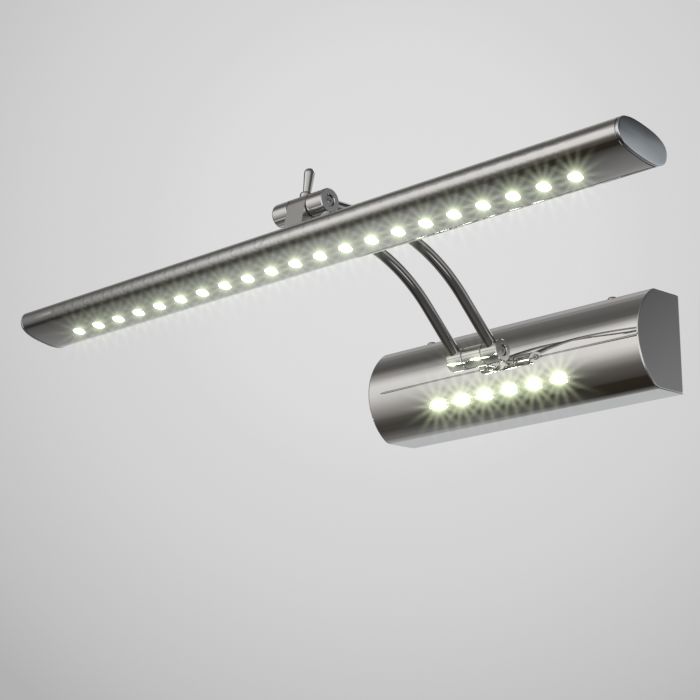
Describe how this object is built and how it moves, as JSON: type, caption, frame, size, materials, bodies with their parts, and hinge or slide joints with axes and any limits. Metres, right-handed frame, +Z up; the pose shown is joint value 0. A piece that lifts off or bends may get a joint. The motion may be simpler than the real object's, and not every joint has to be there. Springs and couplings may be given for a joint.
{
  "type": "picture light",
  "caption": "Polished steel picture light: a D-section wall box, two bent arms hinged at both ends, and a long oval LED lamp head with a short tilt handle.",
  "frame": {"origin": "centre of the wall plate's back face, on the wall, at the wall box's mid-height", "axes": "+X along the lamp to the right seen from the room, +Y into the wall, -Y into the room, +Z up"},
  "size_m": [0.4008, 0.1852, 0.0997],
  "materials": {
    "polished_steel": "mirror polish",
    "satin_steel": "satin",
    "zinc_steel": "zinc plated",
    "screw_steel": "machined",
    "black_rubber": "matte",
    "driver_plastic": "matte",
    "terminal_plastic": "matte",
    "brass": "machined",
    "tinned_copper": "tinned",
    "brown_insulation": "satin",
    "blue_insulation": "satin",
    "earth_insulation": "satin",
    "cable_jacket": "satin",
    "washer_plastic": "satin",
    "heat_sink_aluminium": "extruded",
    "board_white": "solder mask",
    "led_light": "lit cool white",
    "clear_lens": "clear moulding"
  },
  "bodies": {
    "wall_box": {"wall_plate": "zinc_steel", "box_cover": "polished_steel", "end_plate_left": "satin_steel", "end_plate_right": "satin_steel", "cover_screws": "polished_steel", "cable_grommet": "black_rubber", "driver_case": "driver_plastic", "driver_screws": "zinc_steel", "terminal_block": "terminal_plastic", "terminal_screws": "brass", "live_lead": "brown_insulation", "neutral_lead": "blue_insulation", "earth_lead": "earth_insulation", "earth_lug": "tinned_copper", "earth_screw": "brass", "output_cable": "cable_jacket", "base_knuckle": "polished_steel", "stem_collar": "polished_steel", "saddle_washer": "zinc_steel", "stem_nut": "zinc_steel", "lower_pivot_sleeve": "zinc_steel", "lower_pivot_screw": "screw_steel"},
    "arms": {"arm_tube_left": "polished_steel", "arm_tube_right": "polished_steel", "lower_knuckle_left": "polished_steel", "lower_knuckle_right": "polished_steel", "upper_knuckle_left": "polished_steel", "upper_knuckle_right": "polished_steel", "lower_end_cap": "polished_steel", "upper_end_cap": "polished_steel", "friction_washers": "washer_plastic", "spring_washers": "zinc_steel", "arm_cable": "cable_jacket"},
    "lamp_head": {"head_block": "satin_steel", "block_screws": "zinc_steel", "upper_pivot_sleeve": "zinc_steel", "upper_pivot_screw": "screw_steel", "tilt_handle": "polished_steel", "lamp_tube": "polished_steel", "tube_cap_left": "satin_steel", "tube_cap_right": "satin_steel", "heat_sink": "heat_sink_aluminium", "led_board": "board_white", "led_packages": "led_light", "lens_strip": "clear_lens", "lamp_cable": "cable_jacket"}
  },
  "joints": [
    {"name": "lower_hinge", "type": "hinge", "parent": "wall_box", "child": "arms", "pos_m": [0, -0.0468, 0.00295], "axis": [1, 0, 0], "range_deg": [-60, 60]},
    {"name": "upper_hinge", "type": "hinge", "parent": "arms", "child": "lamp_head", "pos_m": [0, -0.165, 0.0542], "axis": [1, 0, 0], "range_deg": [-60, 40]}
  ]
}
